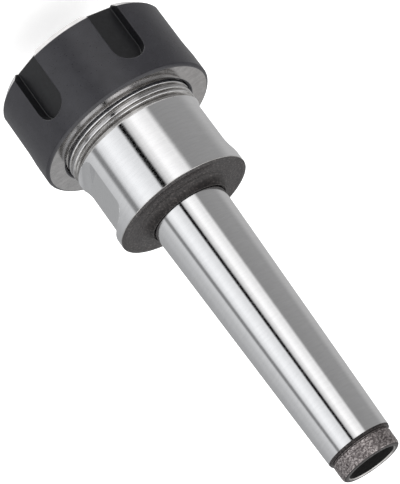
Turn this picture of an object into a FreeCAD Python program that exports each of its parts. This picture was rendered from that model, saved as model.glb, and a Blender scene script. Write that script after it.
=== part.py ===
import FreeCAD, Part
import math
import os
import Sketcher

# Collet chuck holder: a Morse taper shank and threaded nose in one piece, a slotted
# spring collet in the nose and a six-slot clamping nut that pulls it in.
# Millimetres. The holder stands on the front face of its nut: Z = 0 is that face,
# +Z runs along the common axis towards the drawbar end, X is square to the spanner flats.

DOC_NAME = "ColletChuckHolder"
SHEET = "Sizes"
ROUND_STEPS = 3

# Driving sizes: alias, value, what it is.
SIZES = (
    ("nut_dia", 42.0, "outside diameter of the clamping nut"),
    ("nut_length", 20.0, "front face to rear face of the nut"),
    ("nut_front_round", 2.0, "rounding of the nut's front rim"),
    ("nut_rear_bevel", 0.6, "bevel of the nut's rear rim"),
    ("nut_mouth_bevel", 0.4, "lead-in bevel of the nut's thread and front opening"),
    ("nut_opening_dia", 22.0, "opening in the nut's front face"),
    ("nut_phase", 15.0, "angle of the first spanner slot when the nut is tight, degrees"),
    ("slot_count", 6, "spanner slots round the nut"),
    ("slot_width", 7.4, "width of a spanner slot"),
    ("slot_length", 15.2, "front face to the round inner end of a spanner slot"),
    ("slot_depth", 2.9, "depth of a spanner slot below the rim"),
    ("thread_dia", 31.8, "crest diameter of the nose thread"),
    ("thread_slack", 0.1, "radial running clearance of nut on nose"),
    ("thread_show", 4.0, "bare nose between the nut and the collar"),
    ("thread_relief", 0.5, "radial depth of the relief behind the nut's thread"),
    ("undercut_width", 0.8, "width of the undercut where the nose thread ends"),
    ("undercut_depth", 0.8, "radial depth of that undercut"),
    ("nose_bevel", 0.8, "bevel on the nose's front rim"),
    ("nose_gap", 1.2, "nut's lip to the nose's front face"),
    ("collar_dia", 32.0, "ground collar"),
    ("collar_length", 18.0, "front shoulder to rear face of the collar"),
    ("collar_bevel", 0.4, "bevel on both rims of the collar"),
    ("flat_across", 27.0, "size across the two spanner flats"),
    ("flat_start", 2.2, "collar's front shoulder to the flat bottom"),
    ("flat_length", 10.2, "length of the flat bottom"),
    ("flat_front_round", 2.0, "cutter run-out radius at the front of a flat"),
    ("flat_rear_round", 3.2, "cutter run-out radius at the rear of a flat"),
    ("boss_foot", 21.4, "foot diameter of the raised ring round the shank root"),
    ("boss_dia", 18.9, "top diameter of that ring"),
    ("boss_fillet", 0.9, "height of the ring's sloped side"),
    ("boss_rise", 2.0, "collar's rear face to the ground shank"),
    ("gauge_dia", 17.78, "Morse taper 2 gauge diameter"),
    ("gauge_setback", 5.0, "collar's rear face to the gauge plane"),
    ("gauge_length", 64.0, "gauge plane to the end of the shank"),
    ("taper_ratio", 20.02, "length over which the diameter drops by 1"),
    ("stub_length", 4.6, "unground end of the shank"),
    ("stub_dia", 14.0, "diameter of the unground end"),
    ("stub_neck", 0.7, "width of the neck next to the ground taper"),
    ("stub_neck_depth", 0.2, "radial depth of that neck"),
    ("stub_bevel", 0.5, "bevel on the end rim"),
    ("drawbar_dia", 8.5, "tapping size of the drawbar thread"),
    ("drawbar_depth", 28.0, "full-diameter depth of the drawbar hole"),
    ("drawbar_mouth", 11.1, "mouth of its centre countersink"),
    ("drill_half_angle", 59.0, "half angle of the drawbar hole's drilled end, degrees"),
    ("socket_dia", 26.0, "mouth of the collet socket"),
    ("socket_depth", 27.0, "length of the socket's taper"),
    ("socket_angle", 8.0, "half angle of the socket and the collet, degrees"),
    ("relief_dia", 17.4, "bore behind the socket"),
    ("relief_length", 4.0, "length of that bore, which ends flat"),
    ("clamp_angle", 30.0, "half angle of the nut's and the collet's clamping cone, degrees"),
    ("seat_slack", 0.08, "radial clearance on both collet cones"),
    ("collet_inset", 1.0, "collet face behind the nut's front face"),
    ("collet_length", 34.0, "length of the collet"),
    ("collet_face", 20.8, "diameter of the collet's front face"),
    ("collet_head", 25.4, "diameter of the collet's head"),
    ("collet_land", 1.0, "width of the head's cylindrical land"),
    ("collet_groove", 22.0, "diameter of the puller groove"),
    ("collet_groove_width", 3.2, "width of the puller groove"),
    ("collet_bore", 10.0, "tool bore of the collet"),
    ("collet_bevel", 0.4, "bevels at the ends of the collet's taper"),
    ("collet_slots", 8, "slots from each end"),
    ("collet_slot_width", 1.0, "width of a collet slot"),
    ("collet_web", 5.0, "wall left beyond a slot that starts at the front"),
    ("collet_root", 1.2, "groove to the end of a slot that starts at the rear"),
    ("lip_dia", 23.7, "bore of the nut's puller lip"),
    ("lip_offset", 0.7, "offset of that bore from the nut's axis"),
    ("lip_gap", 0.45, "collet head to the lip"),
    ("lip_width", 2.0, "thickness of the lip"),
)


class Size:
    """A number together with the sheet expression that gives it."""

    def __init__(self, value, text):
        self.value = value
        self.text = text

    def __add__(self, other):
        return joined(self, other, "+", self.value + as_size(other).value)

    def __sub__(self, other):
        return joined(self, other, "-", self.value - as_size(other).value)

    def __mul__(self, other):
        return joined(self, other, "*", self.value * as_size(other).value)

    def __truediv__(self, other):
        return joined(self, other, "/", self.value / as_size(other).value)

    def __neg__(self):
        return Size(-self.value, "-" + self.text)


def as_size(thing):
    """Return a plain number as a Size."""
    return thing if isinstance(thing, Size) else Size(thing, str(thing))


def joined(left, right, sign, value):
    """Return the Size for LEFT SIGN RIGHT."""
    return Size(value, "(%s %s %s)" % (as_size(left).text, sign, as_size(right).text))


def tangent(angle):
    """Return the tangent of a Size in degrees."""
    return Size(math.tan(math.radians(angle.value)), "tan(%s * 1 deg)" % angle.text)


ZERO = Size(0.0, "0")


def make_sheet(doc):
    """Write the driving sizes to the sheet and return them by name."""
    sheet = doc.addObject("Spreadsheet::Sheet", SHEET)
    named = {}
    for row, (alias, value, note) in enumerate(SIZES, start=1):
        sheet.set("A%d" % row, note)
        sheet.set("B%d" % row, str(value))
        sheet.setAlias("B%d" % row, alias)
        named[alias] = Size(value, "%s.%s" % (SHEET, alias))
    return named


doc = FreeCAD.newDocument(DOC_NAME)
size = make_sheet(doc)
doc.recompute()

# Stations along the axis, counted from the nut's front face.
collet_front = size["collet_inset"]
collet_rear = collet_front + size["collet_length"]
head_rise = (size["collet_head"] - size["collet_face"]) / 2 / tangent(size["clamp_angle"])
cone_end = collet_front + head_rise
head_end = cone_end + size["collet_land"]
groove_end = head_end + size["collet_groove_width"]
lip_front = head_end + size["lip_gap"]
lip_rear = lip_front + size["lip_width"]
nose_front = lip_rear + size["nose_gap"]
collar_front = size["nut_length"] + size["thread_show"]
collar_rear = collar_front + size["collar_length"]
taper_start = collar_rear + size["boss_rise"]
gauge_plane = collar_rear + size["gauge_setback"]
shank_end = gauge_plane + size["gauge_length"]
taper_end = shank_end - size["stub_length"]
socket_end = nose_front + size["socket_depth"]
relief_end = socket_end + size["relief_length"]

# Radii used by more than one piece.
nut_radius = size["nut_dia"] / 2
nose_radius = size["thread_dia"] / 2
thread_radius = nose_radius + size["thread_slack"]
socket_radius = size["socket_dia"] / 2
head_radius = size["collet_head"] / 2


def taper_radius(station):
    """Return the Morse taper's radius at a station along the axis."""
    return (size["gauge_dia"] - (station - gauge_plane) / size["taper_ratio"]) / 2


def socket_radius_at(station):
    """Return the collet socket's radius at a station along the axis."""
    return socket_radius - (station - nose_front) * tangent(size["socket_angle"])


def clamp_radius_at(station):
    """Return the radius of the collet's clamping cone at a station along the axis."""
    return size["collet_face"] / 2 + (station - collet_front) * tangent(size["clamp_angle"])


# Helpers for bodies, sketches and features.


def new_body(label):
    """Return an empty body with the given label."""
    body = doc.addObject("PartDesign::Body", label.title().replace("_", ""))
    body.Label = label
    return body


def origin_item(body, role):
    """Return the body's origin plane or axis of the given role."""
    return [item for item in body.Origin.OriginFeatures if item.Role == role][0]


def new_sketch(body, name, role="XZ_Plane", offset=None, turn=0.0):
    """Return a sketch on one of the body's origin planes, moved along its normal or turned."""
    sketch = body.newObject("Sketcher::SketchObject", name)
    sketch.AttachmentSupport = [(origin_item(body, role), "")]
    sketch.MapMode = "FlatFace"
    turned = FreeCAD.Rotation(FreeCAD.Vector(0, 1, 0), turn)
    sketch.AttachmentOffset = FreeCAD.Placement(FreeCAD.Vector(), turned)
    if offset is not None:
        sketch.setExpression("AttachmentOffset.Base.z", offset.text)
    return sketch


def pin_across(sketch, curve, end, across):
    """Tie one end of a curve to a sheet expression across the axis."""
    pin(sketch, curve, end, "DistanceX", across, -2)


def pin_along(sketch, curve, end, along):
    """Tie one end of a curve to a sheet expression along the axis."""
    pin(sketch, curve, end, "DistanceY", along, -1)


def pin(sketch, curve, end, kind, place, axis):
    """Tie one end of a curve to its distance from the sketch's origin, or to an axis."""
    if place.value == 0.0:
        sketch.addConstraint(Sketcher.Constraint("PointOnObject", curve, end, axis))
        return
    index = sketch.addConstraint(Sketcher.Constraint(kind, -1, 1, curve, end, place.value))
    sketch.setExpression("Constraints[%d]" % index, place.text)


def pin_point(sketch, curve, end, across, along):
    """Tie one end of a curve to two sheet expressions."""
    pin_across(sketch, curve, end, across)
    pin_along(sketch, curve, end, along)


def join_ends(sketch, *pairs):
    """Make pairs of curve ends coincide."""
    for first, first_end, second, second_end in pairs:
        sketch.addConstraint(Sketcher.Constraint("Coincident", first, first_end, second, second_end))


def add_line(sketch, start, finish):
    """Add a line between two (across, along) places."""
    ends = [FreeCAD.Vector(across.value, along.value, 0) for across, along in (start, finish)]
    return sketch.addGeometry(Part.LineSegment(*ends), False)


def add_arc(sketch, centre, radius, begin, finish):
    """Add an arc about a pinned centre, its ends given as multiples of a right angle."""
    across, along = centre
    middle = FreeCAD.Vector(across.value, along.value, 0)
    circle = Part.Circle(middle, FreeCAD.Vector(0, 0, 1), radius.value)
    curve = Part.ArcOfCircle(circle, begin * math.pi / 2, finish * math.pi / 2)
    arc = sketch.addGeometry(curve, False)
    pin_point(sketch, arc, 3, across, along)
    return arc


def draw_polygon(sketch, points):
    """Draw a closed outline through points, each pinned to its own expressions."""
    first = sketch.GeometryCount
    for start, finish in zip(points, points[1:] + points[:1]):
        add_line(sketch, start, finish)
    for step, (across, along) in enumerate(points):
        join_ends(sketch, (first + step, 2, first + (step + 1) % len(points), 1))
        pin_point(sketch, first + step, 1, across, along)


def draw_circle(sketch, across, along, radius):
    """Draw a circle with its centre and radius tied to the sheet."""
    centre = FreeCAD.Vector(across.value, along.value, 0)
    normal = FreeCAD.Vector(0, 0, 1)
    curve = sketch.addGeometry(Part.Circle(centre, normal, radius.value), False)
    pin_point(sketch, curve, 3, across, along)
    index = sketch.addConstraint(Sketcher.Constraint("Radius", curve, radius.value))
    sketch.setExpression("Constraints[%d]" % index, radius.text)


def draw_slot(sketch, half_width, start, end_centre):
    """Draw a slot that is open at START and ends in a half circle about END_CENTRE."""
    left = add_line(sketch, (-half_width, end_centre), (-half_width, start))
    mouth = add_line(sketch, (-half_width, start), (half_width, start))
    right = add_line(sketch, (half_width, start), (half_width, end_centre))
    end = add_arc(sketch, (ZERO, end_centre), half_width, 0, 2)
    join_ends(sketch, (left, 2, mouth, 1), (mouth, 2, right, 1), (right, 2, end, 1), (end, 2, left, 1))
    pin_point(sketch, left, 1, -half_width, end_centre)
    pin_point(sketch, left, 2, -half_width, start)
    pin_point(sketch, right, 1, half_width, start)
    pin_along(sketch, right, 2, end_centre)


def revolve(body, name, points):
    """Turn a closed half section about the axis."""
    sketch = new_sketch(body, name + "Section")
    draw_polygon(sketch, points)
    turned = body.newObject("PartDesign::Revolution", name)
    turned.Profile = sketch
    turned.ReferenceAxis = (sketch, ["V_Axis"])
    turned.Angle = 360
    return turned


def extrude(body, kind, name, sketch, length, midplane=False, outward=False):
    """Pad or pocket a sketch by a sheet expression and return the feature."""
    feature = body.newObject("PartDesign::" + kind, name)
    feature.Profile = sketch
    feature.Midplane = midplane
    feature.Reversed = outward
    feature.setExpression("Length", length.text)
    return feature


def round_pattern(body, name, feature, count):
    """Repeat a feature evenly round the axis and make the result the body's tip."""
    pattern = body.newObject("PartDesign::PolarPattern", name)
    pattern.Originals = [feature]
    pattern.Axis = (origin_item(body, "Z_Axis"), [""])
    pattern.Angle = 360
    pattern.setExpression("Occurrences", count.text)
    body.Tip = pattern
    return pattern


def rim_round(radius, rounding):
    """Return the corners of a front rim rounded in three even bevels, from face to side."""
    corners = []
    for step in range(ROUND_STEPS + 1):
        turn = math.pi / 2 * step / ROUND_STEPS
        inset = rounding * (1 - math.sin(turn))
        corners.append((radius - inset, rounding * (1 - math.cos(turn))))
    return corners


# Chuck body: threaded nose, collar with two spanner flats, Morse taper shank.


def make_chuck_body():
    """Turn the body, then mill its two flats."""
    body = new_body("chuck_body")
    collar_radius = size["collar_dia"] / 2
    bevel = size["collar_bevel"]
    undercut_radius = nose_radius - size["undercut_depth"]
    boss_radius = size["boss_dia"] / 2
    stub_radius = size["stub_dia"] / 2
    neck_radius = stub_radius - size["stub_neck_depth"]
    neck_end = taper_end + size["stub_neck"]
    hole_radius = size["drawbar_dia"] / 2
    mouth_radius = size["drawbar_mouth"] / 2
    mouth_depth = (mouth_radius - hole_radius) / tangent(size["clamp_angle"])
    hole_floor = shank_end - size["drawbar_depth"]
    relief_radius = size["relief_dia"] / 2
    drill_slope = tangent(size["drill_half_angle"])
    revolve(body, "BodyTurned", [
        (socket_radius, nose_front),
        (nose_radius - size["nose_bevel"], nose_front),
        (nose_radius, nose_front + size["nose_bevel"]),
        (nose_radius, collar_front - size["undercut_width"] - size["undercut_depth"] / 2),
        (undercut_radius, collar_front - size["undercut_width"]),
        (undercut_radius, collar_front),
        (collar_radius - bevel, collar_front),
        (collar_radius, collar_front + bevel),
        (collar_radius, collar_rear - bevel),
        (collar_radius - bevel, collar_rear),
        (size["boss_foot"] / 2, collar_rear),
        (boss_radius, collar_rear + size["boss_fillet"]),
        (boss_radius, taper_start),
        (taper_radius(taper_start), taper_start),
        (taper_radius(taper_end), taper_end),
        (neck_radius, taper_end),
        (neck_radius, neck_end),
        (stub_radius, neck_end),
        (stub_radius, shank_end - size["stub_bevel"]),
        (stub_radius - size["stub_bevel"], shank_end),
        (mouth_radius, shank_end),
        (hole_radius, shank_end - mouth_depth),
        (hole_radius, hole_floor),
        (ZERO, hole_floor - hole_radius / drill_slope),
        (ZERO, relief_end),
        (relief_radius, relief_end),
        (relief_radius, socket_end),
        (socket_radius_at(socket_end), socket_end),
    ])
    mill_flats(body)
    return body


def mill_flats(body):
    """Mill a flat with a concave cutter run-out at each end, and its mirror image opposite."""
    sketch = new_sketch(body, "FlatOutline")
    depth = size["flat_across"] / 2
    low = collar_front + size["flat_start"]
    high = low + size["flat_length"]
    front = size["flat_front_round"]
    rear = size["flat_rear_round"]
    clear = depth + front + rear
    start = low - front
    finish = high + rear
    bottom = add_line(sketch, (depth, low), (depth, high))
    rear_arc = add_arc(sketch, (depth + rear, high), rear, 1, 2)
    rear_side = add_line(sketch, (depth + rear, finish), (clear, finish))
    back = add_line(sketch, (clear, finish), (clear, start))
    front_side = add_line(sketch, (clear, start), (depth + front, start))
    front_arc = add_arc(sketch, (depth + front, low), front, 2, 3)
    join_ends(
        sketch,
        (bottom, 2, rear_arc, 2),
        (rear_arc, 1, rear_side, 1),
        (rear_side, 2, back, 1),
        (back, 2, front_side, 1),
        (front_side, 2, front_arc, 2),
        (front_arc, 1, bottom, 1),
    )
    pin_point(sketch, bottom, 1, depth, low)
    pin_point(sketch, bottom, 2, depth, high)
    pin_across(sketch, rear_side, 1, depth + rear)
    pin_point(sketch, back, 1, clear, finish)
    pin_point(sketch, back, 2, clear, start)
    pin_across(sketch, front_side, 2, depth + front)
    flat = extrude(body, "Pocket", "Flat", sketch, size["collar_dia"] * 2, midplane=True)
    opposite = body.newObject("PartDesign::Mirrored", "OppositeFlat")
    opposite.Originals = [flat]
    opposite.MirrorPlane = (origin_item(body, "YZ_Plane"), [""])
    body.Tip = opposite


# Clamping nut: six spanner slots, clamping cone and an offset puller lip.


def make_clamping_nut():
    """Turn the nut, round its front rim, add the puller lip and mill the spanner slots."""
    body = new_body("clamping_nut")
    opening_radius = size["nut_opening_dia"] / 2
    bevel = size["nut_mouth_bevel"]
    slack = size["seat_slack"]
    cone_start = collet_front + (opening_radius - slack - size["collet_face"] / 2) / tangent(size["clamp_angle"])
    recess_radius = head_radius + size["lip_gap"]
    relief_radius = thread_radius + size["thread_relief"]
    thread_start = nose_front + size["nose_bevel"]
    revolve(body, "NutTurned", [
        (opening_radius + bevel, ZERO),
        *rim_round(nut_radius, size["nut_front_round"]),
        (nut_radius, size["nut_length"] - size["nut_rear_bevel"]),
        (nut_radius - size["nut_rear_bevel"], size["nut_length"]),
        (thread_radius + bevel, size["nut_length"]),
        (thread_radius, size["nut_length"] - bevel),
        (thread_radius, thread_start),
        (relief_radius, thread_start),
        (relief_radius, lip_rear),
        (recess_radius, lip_rear),
        (recess_radius, cone_end),
        (clamp_radius_at(cone_end) + slack, cone_end),
        (opening_radius, cone_start),
        (opening_radius, bevel),
    ])
    lip = new_sketch(body, "LipRings", "XY_Plane", offset=lip_front)
    draw_circle(lip, ZERO, ZERO, recess_radius + size["lip_gap"])
    draw_circle(lip, size["lip_offset"], ZERO, size["lip_dia"] / 2)
    extrude(body, "Pad", "PullerLip", lip, size["lip_width"])
    slot = new_sketch(body, "SpannerSlotOutline", "YZ_Plane", offset=nut_radius - size["slot_depth"])
    half_width = size["slot_width"] / 2
    draw_slot(slot, half_width, -size["slot_width"], size["slot_length"] - half_width)
    cut = extrude(body, "Pocket", "SpannerSlot", slot, size["slot_depth"] * 2, outward=True)
    round_pattern(body, "SpannerSlots", cut, size["slot_count"])
    body.setExpression("Placement.Rotation.Angle", "%s * 1 deg" % size["nut_phase"].text)
    return body


# Spring collet: slots cut from both ends in turn, puller groove, tool bore.


def make_collet():
    """Turn the collet and saw its two sets of slots."""
    body = new_body("spring_collet")
    bore_radius = size["collet_bore"] / 2
    groove_radius = size["collet_groove"] / 2
    bevel = size["collet_bevel"]
    slack = size["seat_slack"]
    shoulder_radius = socket_radius_at(groove_end + bevel) - slack
    rear_radius = socket_radius_at(collet_rear) - slack
    revolve(body, "ColletTurned", [
        (bore_radius, collet_front),
        (size["collet_face"] / 2, collet_front),
        (head_radius, cone_end),
        (head_radius, head_end),
        (groove_radius, head_end),
        (groove_radius, groove_end),
        (shoulder_radius - bevel, groove_end),
        (shoulder_radius, groove_end + bevel),
        (socket_radius_at(collet_rear - bevel) - slack, collet_rear - bevel),
        (rear_radius - bevel, collet_rear),
        (bore_radius, collet_rear),
    ])
    half_step = 180.0 / size["collet_slots"].value
    front_stop = collet_rear - size["collet_web"]
    rear_stop = groove_end + size["collet_root"]
    saw_slots(body, "FrontSlot", 0.0, collet_front - size["collet_web"], front_stop)
    saw_slots(body, "RearSlot", half_step, rear_stop, collet_rear + size["collet_web"])
    return body


def saw_slots(body, name, turn, low, high):
    """Saw one radial slot between two stations and repeat it round the collet."""
    sketch = new_sketch(body, name + "Outline", turn=turn)
    inside = size["collet_bore"] / 4
    outside = socket_radius + size["collet_web"]
    draw_polygon(sketch, [(inside, low), (outside, low), (outside, high), (inside, high)])
    cut = extrude(body, "Pocket", name, sketch, size["collet_slot_width"], midplane=True)
    doc.recompute()
    round_pattern(body, name + "s", cut, size["collet_slots"])
    doc.recompute()


# Build the pieces, check them and write one file for each.

pieces = [make_chuck_body(), make_clamping_nut(), make_collet()]
doc.recompute()

for item in doc.Objects:
    if "Invalid" in item.State or "Error" in item.State:
        raise RuntimeError("%s failed: %s" % (item.Name, item.State))

os.makedirs("parts", exist_ok=True)
for piece in pieces:
    shape = piece.Shape
    if shape.isNull() or not shape.isValid() or len(shape.Solids) != 1:
        raise RuntimeError("%s is not one valid solid" % piece.Label)
    shape.exportStep("parts/%s.step" % piece.Label)
    print("%-14s %10.1f mm3  z %.2f to %.2f" % (
        piece.Label, shape.Volume, shape.BoundBox.ZMin, shape.BoundBox.ZMax))
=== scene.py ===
import math
import bmesh
import bpy
from mathutils import Matrix, Vector


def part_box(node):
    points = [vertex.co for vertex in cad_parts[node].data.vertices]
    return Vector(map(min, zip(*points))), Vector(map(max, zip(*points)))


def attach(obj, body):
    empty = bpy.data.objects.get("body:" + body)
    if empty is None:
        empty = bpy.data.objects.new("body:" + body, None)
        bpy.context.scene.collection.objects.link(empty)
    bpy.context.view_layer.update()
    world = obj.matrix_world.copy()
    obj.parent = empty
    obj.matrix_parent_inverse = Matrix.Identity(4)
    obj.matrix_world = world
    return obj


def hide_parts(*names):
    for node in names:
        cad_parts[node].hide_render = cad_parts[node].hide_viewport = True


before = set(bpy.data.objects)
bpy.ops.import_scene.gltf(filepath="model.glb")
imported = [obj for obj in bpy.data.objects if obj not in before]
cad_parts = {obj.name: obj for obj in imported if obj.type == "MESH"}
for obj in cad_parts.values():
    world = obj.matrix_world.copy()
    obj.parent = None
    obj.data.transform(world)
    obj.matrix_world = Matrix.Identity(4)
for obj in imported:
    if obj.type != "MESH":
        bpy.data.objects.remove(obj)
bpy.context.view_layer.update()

# Chuck body. One turned and ground piece of hardened steel: threaded nose, collar with
# two milled spanner flats, Morse taper shank and a rough end that was never ground.
# It is turned as one blank, then the thread and the flats are cut out of it.

MM = 0.001
BODY_STEPS = 144
nose_foot, shank_top = [corner.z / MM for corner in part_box("chuck_body")]
COLLAR_R = 16.0
CREST_R = 15.8
UNDERCUT_R = 15.0
COLLAR_FRONT = 24.0
COLLAR_REAR = 42.0
ROOT_TOP = 44.0
GROUND_END = 106.4
PITCH = 1.5
THREAD_DEPTH = 0.5
FLAT_X = 13.5
FLAT_LOW = 26.2
FLAT_HIGH = 36.4


def turned(name, outline, steps, turn=0.0):
    """Turn a closed outline of (radius, station) in millimetres about the axis."""
    mesh = bmesh.new()
    side = Vector((math.cos(turn), math.sin(turn), 0)) * MM
    ring = [mesh.verts.new(side * r + Vector((0, 0, z * MM))) for r, z in outline]
    rim = [mesh.edges.new(pair) for pair in zip(ring, ring[1:] + ring[:1])]
    bmesh.ops.spin(
        mesh, geom=ring + rim, axis=(0, 0, 1), cent=(0, 0, 0),
        angle=2 * math.pi, steps=steps, use_merge=True,
    )
    return finished(name, mesh)


def finished(name, mesh):
    """Merge doubles, face the mesh outwards and put it in the scene."""
    bmesh.ops.remove_doubles(mesh, verts=mesh.verts, dist=1e-6)
    bmesh.ops.recalc_face_normals(mesh, faces=mesh.faces)
    data = bpy.data.meshes.new(name)
    mesh.to_mesh(data)
    mesh.free()
    piece = bpy.data.objects.new(name, data)
    bpy.context.scene.collection.objects.link(piece)
    return piece


def prism(mesh, corners, push):
    """Add a closed prism: a face through the corners, pushed along a vector."""
    face = mesh.faces.new([mesh.verts.new(corner) for corner in corners])
    made = bmesh.ops.extrude_face_region(mesh, geom=[face], use_keep_orig=True)
    moved = [item for item in made["geom"] if isinstance(item, bmesh.types.BMVert)]
    bmesh.ops.translate(mesh, verts=moved, vec=push)
    return moved


def add_thread_groove(mesh, crest, inward, low, high, steps=48):
    """Add the helical groove of a right-hand 60 degree thread, from low to high."""
    root = 0.1
    lip = root + (THREAD_DEPTH + 0.08) * math.tan(math.radians(30))
    over, floor = crest + 0.08 * inward, crest - THREAD_DEPTH * inward
    corners = [(over, low - lip), (over, low + lip), (floor, low + root), (floor, low - root)]
    face = mesh.faces.new([mesh.verts.new(Vector((r, 0, z)) * MM) for r, z in corners])
    turns = (high - low) / PITCH
    bmesh.ops.spin(
        mesh, geom=[face], axis=(0, 0, 1), cent=(0, 0, 0), angle=2 * math.pi * turns,
        dvec=(0, 0, PITCH * MM / steps), steps=round(turns * steps),
    )


def cut_away(piece, cutter):
    """Cut one solid out of another and keep the result as the piece's mesh."""
    cut = piece.modifiers.new("cut", "BOOLEAN")
    cut.operation = "DIFFERENCE"
    cut.solver = "EXACT"
    cut.object = cutter
    settled = bpy.context.evaluated_depsgraph_get()
    result = bpy.data.meshes.new_from_object(piece.evaluated_get(settled))
    piece.modifiers.clear()
    piece.data = result
    bpy.data.objects.remove(cutter)


def break_edges(piece, width, segments=2, slot=-1, angle=28.0):
    """Round every sharp edge of a piece by a little, and shade the rest true."""
    for face in piece.data.polygons:
        face.use_smooth = True
    bevel = piece.modifiers.new("broken_edges", "BEVEL")
    bevel.width = width * MM
    bevel.segments = segments
    bevel.profile = 0.5
    bevel.limit_method = "ANGLE"
    bevel.angle_limit = math.radians(angle)
    bevel.use_clamp_overlap = False
    bevel.harden_normals = True
    bevel.material = slot
    settled = bpy.context.evaluated_depsgraph_get()
    result = bpy.data.meshes.new_from_object(piece.evaluated_get(settled))
    piece.modifiers.clear()
    piece.data = result


body = turned("chuck_body_turned", [
    (13.0, nose_foot), (15.0, nose_foot), (CREST_R, nose_foot + 0.8), (CREST_R, 22.8),
    (UNDERCUT_R, 23.3), (UNDERCUT_R, COLLAR_FRONT),
    (15.6, COLLAR_FRONT), (COLLAR_R, COLLAR_FRONT + 0.4),
    (COLLAR_R, COLLAR_REAR - 0.25), (14.9, COLLAR_REAR), (14.6, COLLAR_REAR - 0.1),
    (12.0, COLLAR_REAR - 0.1), (11.8, COLLAR_REAR), (11.55, COLLAR_REAR - 0.05),
    (11.3, COLLAR_REAR + 0.06), (11.0, COLLAR_REAR - 0.03), (10.7, COLLAR_REAR + 0.05),
    (10.3, 42.3), (9.85, 42.85), (9.6, 43.5), (9.45, ROOT_TOP),
    (9.25, ROOT_TOP), (9.15, 43.4), (8.975, 43.4), (7.414, GROUND_END - 0.15),
    (7.36, GROUND_END + 0.05), (7.3, GROUND_END + 0.3), (6.75, GROUND_END + 0.45),
    (6.75, GROUND_END + 0.65), (7.0, GROUND_END + 0.95),
    (6.95, 110.2), (6.8, 110.7), (6.45, shank_top),
    (5.75, shank_top), (5.5, shank_top - 0.25), (4.25, 108.75), (4.25, 83.0), (0, 80.45),
    (0, 40.63), (8.7, 40.63), (8.7, 36.63), (9.2, 36.63),
], BODY_STEPS, turn=math.radians(1.25))

cutter = bmesh.new()
for side in (1, -1):
    outline = []
    for step in range(10):
        angle = math.radians(90 * step / 9)
        outline.append((FLAT_X + 2.0 - 2.0 * math.sin(angle), FLAT_LOW - 2.0 * math.cos(angle)))
    for step in range(10):
        angle = math.radians(90 * step / 9)
        outline.append((FLAT_X + 3.2 - 3.2 * math.cos(angle), FLAT_HIGH + 3.2 * math.sin(angle)))
    outline += [(20.0, FLAT_HIGH + 3.2), (20.0, FLAT_LOW - 2.0)]
    corners = [Vector((side * x, -18, z)) * MM for x, z in outline]
    prism(cutter, corners, Vector((0, 36, 0)) * MM)
add_thread_groove(cutter, CREST_R, 1, nose_foot - 1.2, 23.1)
cut_away(body, finished("body_cutter", cutter))
break_edges(body, 0.08)


def steel(name, colour, metallic, rough):
    """Start a plain finish with its Principled shader."""
    finish = bpy.data.materials.new(name)
    finish.use_nodes = True
    shader = finish.node_tree.nodes["Principled BSDF"]
    shader.inputs["Base Color"].default_value = (*colour, 1)
    shader.inputs["Metallic"].default_value = metallic
    shader.inputs["Roughness"].default_value = rough
    return finish


def pattern(finish, size, stretch=(1, 1, 1), detail=4.0, roughness=0.55):
    """Add a noise pattern on object coordinates, its grain SIZE millimetres times STRETCH."""
    nodes, links = finish.node_tree.nodes, finish.node_tree.links
    where = nodes.get("where") or nodes.new("ShaderNodeTexCoord")
    where.name = "where"
    fit = nodes.new("ShaderNodeMapping")
    fit.inputs["Scale"].default_value = [1 / (size * MM * part) for part in stretch]
    noise = nodes.new("ShaderNodeTexNoise")
    noise.inputs["Scale"].default_value = 1.0
    noise.inputs["Detail"].default_value = detail
    noise.inputs["Roughness"].default_value = roughness
    links.new(where.outputs["Object"], fit.inputs["Vector"])
    links.new(fit.outputs["Vector"], noise.inputs["Vector"])
    return noise.outputs["Fac"]


def shade(finish, amount, socket, stops):
    """Drive a shader input by a pattern through a ramp of (place, value) stops."""
    nodes, links = finish.node_tree.nodes, finish.node_tree.links
    ramp = nodes.new("ShaderNodeValToRGB")
    while len(ramp.color_ramp.elements) < len(stops):
        ramp.color_ramp.elements.new(0.5)
    for stop, (place, value) in zip(ramp.color_ramp.elements, stops):
        stop.position = place
        stop.color = (*value, 1) if isinstance(value, tuple) else (value, value, value, 1)
    links.new(amount, ramp.inputs["Fac"])
    if socket:
        links.new(ramp.outputs["Color"], nodes["Principled BSDF"].inputs[socket])
    return ramp.outputs["Color"]


def emboss(finish, amount, height):
    """Raise the surface by a pattern, HEIGHT in millimetres, over what is there already."""
    nodes, links = finish.node_tree.nodes, finish.node_tree.links
    bump = nodes.new("ShaderNodeBump")
    bump.inputs["Distance"].default_value = height * MM
    links.new(amount, bump.inputs["Height"])
    normal = nodes["Principled BSDF"].inputs["Normal"]
    if normal.is_linked:
        links.new(normal.links[0].from_socket, bump.inputs["Normal"])
    links.new(bump.outputs["Normal"], normal)


ground = steel("ground_steel", (0.85, 0.85, 0.86), 1.0, 0.08)
chatter = pattern(ground, 0.5, (6, 6, 1), detail=2.0)
shade(ground, chatter, "Base Color", ((0.3, (0.83, 0.83, 0.84)), (0.7, (0.88, 0.88, 0.89))))
emboss(ground, chatter, 0.004)
grain = pattern(ground, 0.3, (1.5, 1.5, 1), detail=3.0)
shade(ground, grain, "Roughness", ((0.35, 0.05), (0.7, 0.13)))
emboss(ground, grain, 0.0012)

# Thread flanks are darker steel: partly real oil, partly painted shade in the thread grooves.
flank_oil_and_shade = steel("oiled_thread_and_painted_shade", (0.3, 0.29, 0.28), 1.0, 0.3)
streak = pattern(flank_oil_and_shade, 0.4, (6, 6, 1))
shade(flank_oil_and_shade, streak, "Base Color", ((0.3, (0.3, 0.29, 0.28)), (0.7, (0.62, 0.61, 0.6))))

# Near-black scale: the real dark skin of the collar's rear face and the shank's end face, and also
# painted shade as black lines at the root and where the ground taper ends.
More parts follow.
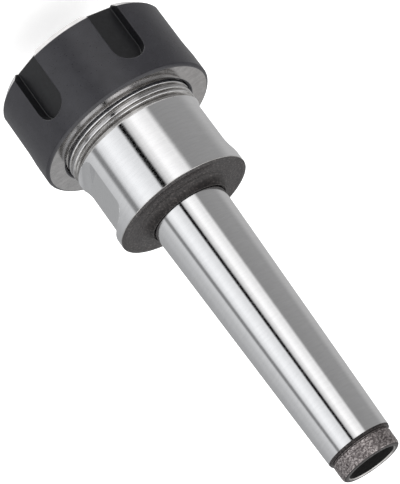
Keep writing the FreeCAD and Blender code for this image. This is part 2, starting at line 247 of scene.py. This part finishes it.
scale_and_shade = steel("heat_scale_and_painted_shade", (0.03, 0.027, 0.025), 0.2, 0.5)
skin = pattern(scale_and_shade, 0.5, detail=8.0, roughness=0.7)
shade(scale_and_shade, skin, "Base Color", (
    (0.32, (0.004, 0.003, 0.003)), (0.5, (0.012, 0.009, 0.009)), (0.62, (0.05, 0.042, 0.04)),
    (0.7, (0.2, 0.18, 0.17)),
))
shade(scale_and_shade, skin, "Roughness", ((0.3, 0.55), (0.7, 0.3)))
emboss(scale_and_shade, skin, 0.03)

crust = steel("unground_end", (0.12, 0.11, 0.105), 0.85, 0.42)
flake = pattern(crust, 0.5, (1, 1, 0.8), detail=9.0, roughness=0.8)
shade(crust, flake, "Base Color", (
    (0.34, (0.015, 0.013, 0.013)), (0.48, (0.16, 0.14, 0.14)), (0.6, (0.62, 0.57, 0.56)),
))
shade(crust, flake, "Roughness", ((0.3, 0.5), (0.7, 0.26)))
emboss(crust, flake, 0.06)

# The bore inside is painted near black with almost no shine: painted shade in the deep hole.
bore_shade = steel("bore_painted_shade", (0.01, 0.009, 0.009), 0.0, 0.35)
drilled = pattern(bore_shade, 0.3, (4, 4, 1))
shade(bore_shade, drilled, "Base Color", (
    (0.3, (0.003, 0.003, 0.003)), (0.7, (0.012, 0.011, 0.011)),
))
bore_shade.node_tree.nodes["Principled BSDF"].inputs["Specular IOR Level"].default_value = 0.05

for finish in (ground, flank_oil_and_shade, scale_and_shade, crust, bore_shade):
    body.data.materials.append(finish)
for face in body.data.polygons:
    reach = math.hypot(face.center.x, face.center.y) / MM
    z = face.center.z / MM
    # Thread flanks take the darker oiled finish, which includes painted groove shade; so do the
    # collar's rear chamfer and the hole's mouth chamfer.
    if nose_foot < z < COLLAR_FRONT + 0.01 and 13.2 < reach < CREST_R - 0.06:
        face.material_index = 1
    elif COLLAR_REAR - 0.36 < z < COLLAR_REAR - 0.2 and reach > 15.8 or (
        z > shank_top - 0.3 and 5.5 < reach < 5.78
    ):
        face.material_index = 1
    # Collar rear face: real dark scale; the root ring at its foot: a painted shade line.
    elif COLLAR_REAR - 0.25 < z < ROOT_TOP + 0.01 and (reach > 8.99 or z < 43.45):
        face.material_index = 2
    # A painted shade line where the ground taper ends in the step down to the rough end.
    elif GROUND_END - 0.15 < z < GROUND_END + 0.5 and reach > 5.6:
        face.material_index = 2
    elif z > GROUND_END and reach > 5.5:
        face.material_index = 2 if face.normal.z > 0.7 else 3
    # Faces inside the bore take the painted-shade finish.
    elif reach < 5.5 and z > 60:
        face.material_index = 4
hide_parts("chuck_body")
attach(body, "holder")

# Clamping nut. Turned from bar, six spanner slots milled from the front, blackened all
# over, then both end faces and the front chamfer are turned bright again.

NUT_STEPS = 120
NUT_PHASE = 15.0
nut_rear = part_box("clamping_nut")[1].z / MM
SLOT_HALF = 3.7
SLOT_END = 15.2
SLOT_FLOOR = 18.1
nut = turned("clamping_nut_turned", [
    (11.0, 0.4), (11.4, 0.0), (19.2, 0.0), (21.0, 1.8), (21.0, nut_rear - 0.5),
    (20.5, nut_rear), (16.4, nut_rear), (16.0, nut_rear - 0.4), (16.0, 10.43), (16.5, 10.43),
    (16.5, 8.43), (11.15, 8.43), (11.15, 6.43), (13.15, 6.43), (13.15, 4.98), (12.78, 4.98),
    (11.0, 1.9),
], NUT_STEPS, turn=math.radians(NUT_PHASE))
cutter = bmesh.new()
for index in range(6):
    outline = [(-SLOT_HALF, -2.0)]
    for step in range(14):
        angle = math.pi * (1 - step / 13)
        outline.append((SLOT_HALF * math.cos(angle), SLOT_END - SLOT_HALF * (1 - math.sin(angle))))
    outline.append((SLOT_HALF, -2.0))
    turn = Matrix.Rotation(math.radians(NUT_PHASE + 60 * index), 3, "Z")
    corners = [turn @ Vector((SLOT_FLOOR, y, z)) * MM for y, z in outline]
    prism(cutter, corners, turn @ Vector((4.0, 0, 0)) * MM)
offset = Matrix.Rotation(math.radians(NUT_PHASE), 3, "Z") @ Vector((0.7, 0, 7.43)) * MM
bmesh.ops.create_cone(
    cutter, cap_ends=True, segments=96, radius1=11.85 * MM, radius2=11.85 * MM,
    depth=2.2 * MM, matrix=Matrix.Translation(offset),
)
cut_away(nut, finished("nut_cutter", cutter))
break_edges(nut, 0.2, slot=1)
black = steel("black_oxide_steel", (0.022, 0.022, 0.025), 0.0, 0.32)
cloud = pattern(black, 2.4, detail=5.0)
shade(black, cloud, "Base Color", ((0.3, (0.017, 0.0165, 0.021)), (0.7, (0.023, 0.0225, 0.028))))
fleck = pattern(black, 0.3, (1.6, 1.6, 1), detail=4.0)
shade(black, fleck, "Roughness", ((0.3, 0.26), (0.7, 0.4)))
emboss(black, fleck, 0.002)
worn = steel("worn_edge", (0.3, 0.3, 0.31), 0.8, 0.3)
rub = pattern(worn, 0.7, detail=5.0, roughness=0.65)
shade(worn, rub, "Base Color", ((0.36, (0.1, 0.1, 0.105)), (0.62, (0.6, 0.6, 0.61))))
faced = steel("faced_steel", (0.5, 0.49, 0.485), 1.0, 0.14)
ring = pattern(faced, 1.4, detail=3.0)
shade(faced, ring, "Base Color", ((0.3, (0.44, 0.43, 0.425)), (0.7, (0.56, 0.545, 0.54))))
# Slot floors and walls get a near-black finish, darker than the blackened nut: painted shade in the
# slots.
slot_shade = steel("slot_painted_shade", (0.006, 0.006, 0.007), 0.0, 0.36)
shade(slot_shade, pattern(slot_shade, 0.8, detail=4.0), "Base Color", (
    (0.3, (0.003, 0.003, 0.004)), (0.7, (0.009, 0.009, 0.011)),
))
for finish in (black, worn, faced, slot_shade):
    nut.data.materials.append(finish)
for face in nut.data.polygons:
    reach = math.hypot(face.center.x, face.center.y) / MM
    z = face.center.z / MM
    if z > nut_rear - 0.02 or reach > 11.5 and face.normal.z < -0.3 and z < 1.79:
        face.material_index = 2
    # Slot floors and walls take the painted-shade finish.
    elif face.material_index == 0 and 17.5 < reach < 20.9 and z < SLOT_END + 0.1:
        face.material_index = 3
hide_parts("clamping_nut")
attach(nut, "nut")

# Spring collet. Spring steel, hardened and ground all over, with a groove that the
# nut's lip draws it out by. Sixteen saw slots run in from both ends in turn.

collet = turned("spring_collet_turned", [
    (5.0, 1.0), (10.4, 1.0), (12.7, 4.984), (12.7, 5.984), (11.0, 5.984), (11.0, 9.184),
    (12.53, 9.184), (12.93, 9.584), (9.41, 34.6), (8.95, 35.0), (5.0, 35.0),
], 96)
cutter = bmesh.new()
for index in range(16):
    low, high = ((-4.0, 30.0), (10.38, 40.0))[index % 2]
    turn = Matrix.Rotation(math.radians(22.5 * index), 3, "Z")
    corners = [(2.5, low), (16.0, low), (16.0, high), (2.5, high)]
    corners = [turn @ Vector((x, -0.5, z)) * MM for x, z in corners]
    prism(cutter, corners, turn @ Vector((0, 1.0, 0)) * MM)
cut_away(collet, finished("collet_cutter", cutter))
break_edges(collet, 0.08)
sprung = steel("collet_steel", (0.6, 0.6, 0.6), 1.0, 0.2)
lapped = pattern(sprung, 0.4, (5, 5, 1), detail=3.0)
shade(sprung, lapped, "Base Color", ((0.3, (0.5, 0.5, 0.505)), (0.7, (0.66, 0.66, 0.665))))
shade(sprung, lapped, "Roughness", ((0.35, 0.12), (0.7, 0.24)))
emboss(sprung, lapped, 0.003)
collet.data.materials.append(sprung)
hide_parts("spring_collet")
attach(collet, "collet")

# Stage. A pale paper floor that the steel doesn't mirror, soft light panels standing all
# round the part as seen from the camera, a bright sky and ground, and the camera.

FLOOR_DROP = Matrix.Translation((0, 0, -12 * MM))
floor_mesh = bmesh.new()
bmesh.ops.create_circle(floor_mesh, cap_ends=True, segments=96, radius=6.0, matrix=FLOOR_DROP)
floor = finished("floor", floor_mesh)
paper = steel("floor_paper", (0.8, 0.8, 0.8), 0.0, 0.9)
paper.node_tree.nodes["Principled BSDF"].inputs["Emission Color"].default_value = (1, 1, 1, 1)
paper.node_tree.nodes["Principled BSDF"].inputs["Emission Strength"].default_value = 0.6
floor.data.materials.append(paper)
floor.visible_glossy = False

CAMERA_AZIMUTH = 104.34
CAMERA_ELEVATION = 19.2
CAMERA_DISTANCE = 0.437
CAMERA_ROLL = 144.0
CAMERA_AIM = Vector((-0.0015, -0.0018, 0.0501))
SKY_GLOW = 1.7
GROUND_GLOW = 1.5
PANELS = (
    (-180, 0.50), (-130, 0.48), (-98, 0.32), (-46, 0.29), (-36, 0.92), (-14, 1.15),
    (-5, 0.86), (0.5, 0.62), (5, 0.0), (9.5, 0.0), (14, 0.82), (42, 1.05), (54, 0.88),
    (58, 0.72), (64, 0.24), (68, 0.24), (74, 0.66), (100, 0.52), (130, 0.42), (152, 0.38), (180, 0.50),
)
world = bpy.data.worlds.new("studio")
bpy.context.scene.world = world
world.use_nodes = True
nodes, links = world.node_tree.nodes, world.node_tree.links
nodes.clear()
where = nodes.new("ShaderNodeTexCoord")
aim = nodes.new("ShaderNodeMapping")
aim.inputs["Rotation"].default_value = (0, 0, -math.radians(CAMERA_AZIMUTH))
around = nodes.new("ShaderNodeTexGradient")
around.gradient_type = "RADIAL"
ramp = nodes.new("ShaderNodeValToRGB")
ramp.color_ramp.interpolation = "EASE"
stops = ramp.color_ramp.elements
stops.remove(stops[1])
for index, (azimuth, glow) in enumerate(PANELS):
    place = azimuth / 360 + 0.5
    stop = stops[0] if index == 0 else stops.new(place)
    stop.position = place
    cool = 0.01 if azimuth > 7 else -0.004
    stop.color = (glow * (1 - cool), glow, glow * (1 + cool), 1)
split = nodes.new("ShaderNodeSeparateXYZ")
rise = nodes.new("ShaderNodeMapRange")
rise.interpolation_type = "SMOOTHSTEP"
rise.inputs["From Min"].default_value = 0.42
rise.inputs["From Max"].default_value = 0.8
blend = nodes.new("ShaderNodeMix")
blend.data_type = "RGBA"
blend.inputs[7].default_value = (SKY_GLOW, SKY_GLOW, SKY_GLOW, 1)
sink = nodes.new("ShaderNodeMapRange")
sink.interpolation_type = "SMOOTHSTEP"
sink.inputs["From Min"].default_value = -0.5
sink.inputs["From Max"].default_value = -0.85
below = nodes.new("ShaderNodeMix")
below.data_type = "RGBA"
below.inputs[7].default_value = (GROUND_GLOW, GROUND_GLOW, GROUND_GLOW, 1)
shine = nodes.new("ShaderNodeBackground")
out = nodes.new("ShaderNodeOutputWorld")
links.new(where.outputs["Generated"], aim.inputs["Vector"])
links.new(aim.outputs["Vector"], around.inputs["Vector"])
links.new(around.outputs["Fac"], ramp.inputs["Fac"])
links.new(where.outputs["Generated"], split.inputs["Vector"])
links.new(split.outputs["Z"], rise.inputs["Value"])
links.new(rise.outputs["Result"], blend.inputs["Factor"])
links.new(ramp.outputs["Color"], blend.inputs[6])
links.new(split.outputs["Z"], sink.inputs["Value"])
links.new(sink.outputs["Result"], below.inputs["Factor"])
links.new(blend.outputs[2], below.inputs[6])
links.new(below.outputs[2], shine.inputs["Color"])
links.new(shine.outputs["Background"], out.inputs["Surface"])
bpy.context.scene.view_settings.view_transform = "Standard"

lens = bpy.data.cameras.new("camera")
lens.sensor_width = 36.0
lens.lens = 151.9
lens.clip_start = 0.01
lens.clip_end = 20.0
camera = bpy.data.objects.new("camera", lens)
bpy.context.scene.collection.objects.link(camera)
azimuth, elevation = math.radians(CAMERA_AZIMUTH), math.radians(CAMERA_ELEVATION)
back = Vector((
    math.cos(azimuth) * math.cos(elevation),
    math.sin(azimuth) * math.cos(elevation),
    math.sin(elevation),
))
stand = Matrix.Translation(CAMERA_AIM + back * CAMERA_DISTANCE)
level = back.to_track_quat("Z", "Y").to_matrix().to_4x4()
camera.matrix_world = stand @ level @ Matrix.Rotation(math.radians(CAMERA_ROLL), 4, "Z")
bpy.context.scene.camera = camera
